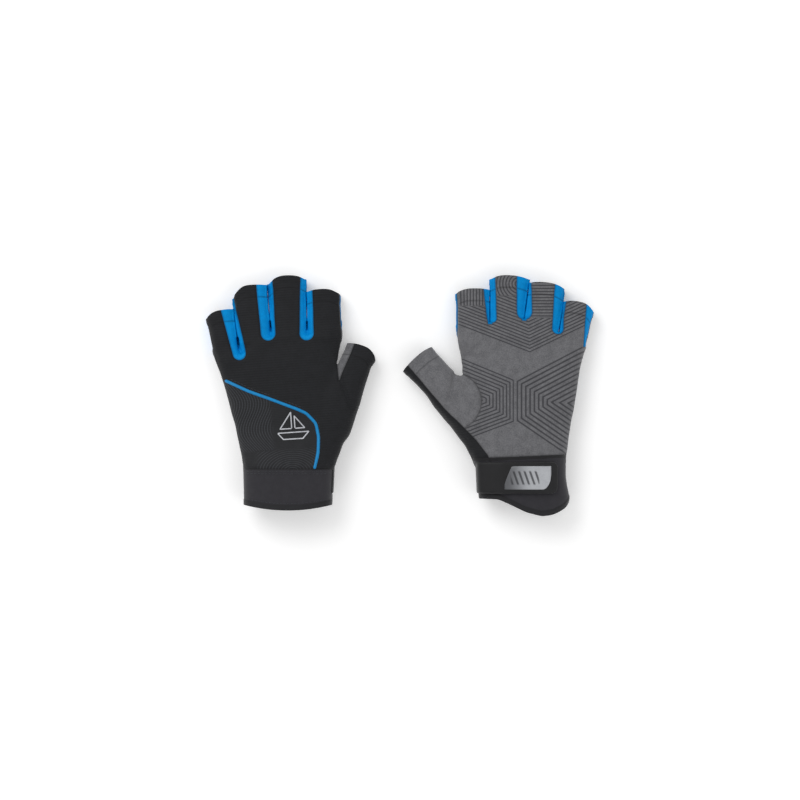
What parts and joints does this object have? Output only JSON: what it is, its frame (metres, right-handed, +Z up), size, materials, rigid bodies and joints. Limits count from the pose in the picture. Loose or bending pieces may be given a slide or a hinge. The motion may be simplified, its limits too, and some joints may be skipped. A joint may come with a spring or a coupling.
{
  "type": "pair of sailing gloves",
  "caption": "Short-finger sailing gloves shown back and palm: open-ended finger and thumb stalls, suede palm, piped back, neoprene cuff with a hook-and-loop wrist strap.",
  "frame": {"origin": "on the table, under the middle of the outline of the two gloves", "axes": "+X from the glove that lies back up to the one that lies palm up, +Y from the wrists to the fingertips, +Z up"},
  "size_m": [0.3002, 0.185, 0.0365],
  "materials": {
    "black_stretch": "ribbed black stretch fabric",
    "printed_stretch": "dark printed stretch fabric",
    "palm_suede": "printed synthetic suede",
    "blue_lycra": "blue elastic knit",
    "piping_blue": "woven cord",
    "neoprene": "fabric-faced neoprene",
    "binding": "woven binding tape",
    "strap_webbing": "fabric-faced neoprene",
    "hook_and_loop": "hook and loop",
    "silver_print": "silver transfer",
    "badge": "graded silver print"
  },
  "bodies": {
    "glove_a_hand": {"glove_a_back_panel": "black_stretch", "glove_a_wrist_panel": "printed_stretch", "glove_a_piping": "piping_blue", "glove_a_emblem": "silver_print", "glove_a_palm_panel": "palm_suede", "glove_a_cuff_band": "neoprene", "glove_a_cuff_binding": "binding", "glove_a_cuff_loop_patch": "hook_and_loop", "glove_a_strap_anchor": "strap_webbing"},
    "glove_a_index": {"glove_a_index_back": "black_stretch", "glove_a_index_palm": "palm_suede", "glove_a_index_thumbside_wall": "blue_lycra", "glove_a_index_outer_wall": "blue_lycra"},
    "glove_a_middle": {"glove_a_middle_back": "black_stretch", "glove_a_middle_palm": "palm_suede", "glove_a_middle_thumbside_wall": "blue_lycra", "glove_a_middle_outer_wall": "blue_lycra"},
    "glove_a_ring": {"glove_a_ring_back": "black_stretch", "glove_a_ring_palm": "palm_suede", "glove_a_ring_thumbside_wall": "blue_lycra", "glove_a_ring_outer_wall": "blue_lycra"},
    "glove_a_little": {"glove_a_little_back": "black_stretch", "glove_a_little_palm": "palm_suede", "glove_a_little_thumbside_wall": "blue_lycra", "glove_a_little_outer_wall": "blue_lycra"},
    "glove_a_thumb": {"glove_a_thumb_back": "black_stretch", "glove_a_thumb_palm": "palm_suede"},
    "glove_a_strap": {"glove_a_strap": "strap_webbing", "glove_a_strap_hook_patch": "hook_and_loop", "glove_a_strap_badge": "badge"},
    "glove_b_hand": {"glove_b_back_panel": "black_stretch", "glove_b_wrist_panel": "printed_stretch", "glove_b_piping": "piping_blue", "glove_b_emblem": "silver_print", "glove_b_palm_panel": "palm_suede", "glove_b_cuff_band": "neoprene", "glove_b_cuff_binding": "binding", "glove_b_cuff_loop_patch": "hook_and_loop", "glove_b_strap_anchor": "strap_webbing"},
    "glove_b_index": {"glove_b_index_back": "black_stretch", "glove_b_index_palm": "palm_suede", "glove_b_index_thumbside_wall": "blue_lycra", "glove_b_index_outer_wall": "blue_lycra"},
    "glove_b_middle": {"glove_b_middle_back": "black_stretch", "glove_b_middle_palm": "palm_suede", "glove_b_middle_thumbside_wall": "blue_lycra", "glove_b_middle_outer_wall": "blue_lycra"},
    "glove_b_ring": {"glove_b_ring_back": "black_stretch", "glove_b_ring_palm": "palm_suede", "glove_b_ring_thumbside_wall": "blue_lycra", "glove_b_ring_outer_wall": "blue_lycra"},
    "glove_b_little": {"glove_b_little_back": "black_stretch", "glove_b_little_palm": "palm_suede", "glove_b_little_thumbside_wall": "blue_lycra", "glove_b_little_outer_wall": "blue_lycra"},
    "glove_b_thumb": {"glove_b_thumb_back": "black_stretch", "glove_b_thumb_palm": "palm_suede"},
    "glove_b_strap": {"glove_b_strap": "strap_webbing", "glove_b_strap_hook_patch": "hook_and_loop", "glove_b_strap_badge": "badge"}
  },
  "joints": [
    {"name": "glove_a_index_flex", "type": "hinge", "parent": "glove_a_hand", "child": "glove_a_index", "pos_m": [-0.0569, 0.05841, 0], "axis": [-0.9994, -0.0349, 0], "range_deg": [0, 60]},
    {"name": "glove_a_middle_flex", "type": "hinge", "parent": "glove_a_hand", "child": "glove_a_middle", "pos_m": [-0.08405, 0.05952, 0], "axis": [-0.9962, -0.0872, 0], "range_deg": [0, 60]},
    {"name": "glove_a_ring_flex", "type": "hinge", "parent": "glove_a_hand", "child": "glove_a_ring", "pos_m": [-0.11077, 0.05464, 0], "axis": [-0.9877, -0.1564, 0], "range_deg": [0, 60]},
    {"name": "glove_a_little_flex", "type": "hinge", "parent": "glove_a_hand", "child": "glove_a_little", "pos_m": [-0.13347, 0.03802, 0], "axis": [-0.9613, -0.2756, 0], "range_deg": [0, 60]},
    {"name": "glove_a_thumb_spread", "type": "hinge", "parent": "glove_a_hand", "child": "glove_a_thumb", "pos_m": [-0.04436, -0.00487, 0.01333], "axis": [0, 0, -1], "range_deg": [0, 20]},
    {"name": "glove_a_strap_peel", "type": "hinge", "parent": "glove_a_hand", "child": "glove_a_strap", "pos_m": [-0.04749, -0.06286, 0.01751], "axis": [0, -1, 0], "range_deg": [0, 150]},
    {"name": "glove_b_lift", "type": "slide", "parent": "glove_a_hand", "child": "glove_b_hand", "axis": [0, 0, 1], "range_m": [0, 0.12]},
    {"name": "glove_b_index_flex", "type": "hinge", "parent": "glove_b_hand", "child": "glove_b_index", "pos_m": [0.05712, 0.05614, 0.021], "axis": [0.9994, 0.0349, 0], "range_deg": [0, 60]},
    {"name": "glove_b_middle_flex", "type": "hinge", "parent": "glove_b_hand", "child": "glove_b_middle", "pos_m": [0.08412, 0.05914, 0.021], "axis": [0.9998, -0.0174, 0], "range_deg": [0, 60]},
    {"name": "glove_b_ring_flex", "type": "hinge", "parent": "glove_b_hand", "child": "glove_b_ring", "pos_m": [0.11112, 0.05614, 0.021], "axis": [0.9962, -0.0872, 0], "range_deg": [0, 60]},
    {"name": "glove_b_little_flex", "type": "hinge", "parent": "glove_b_hand", "child": "glove_b_little", "pos_m": [0.13492, 0.04114, 0.021], "axis": [0.9782, -0.2079, 0], "range_deg": [0, 60]},
    {"name": "glove_b_thumb_spread", "type": "hinge", "parent": "glove_b_hand", "child": "glove_b_thumb", "pos_m": [0.04482, -0.00656, 0.01331], "axis": [0, 0, 1], "range_deg": [-12, 6]},
    {"name": "glove_b_strap_peel", "type": "hinge", "parent": "glove_b_hand", "child": "glove_b_strap", "pos_m": [0.05553, -0.06286, 0.01859], "axis": [0, -1, 0], "range_deg": [0, 150]}
  ]
}
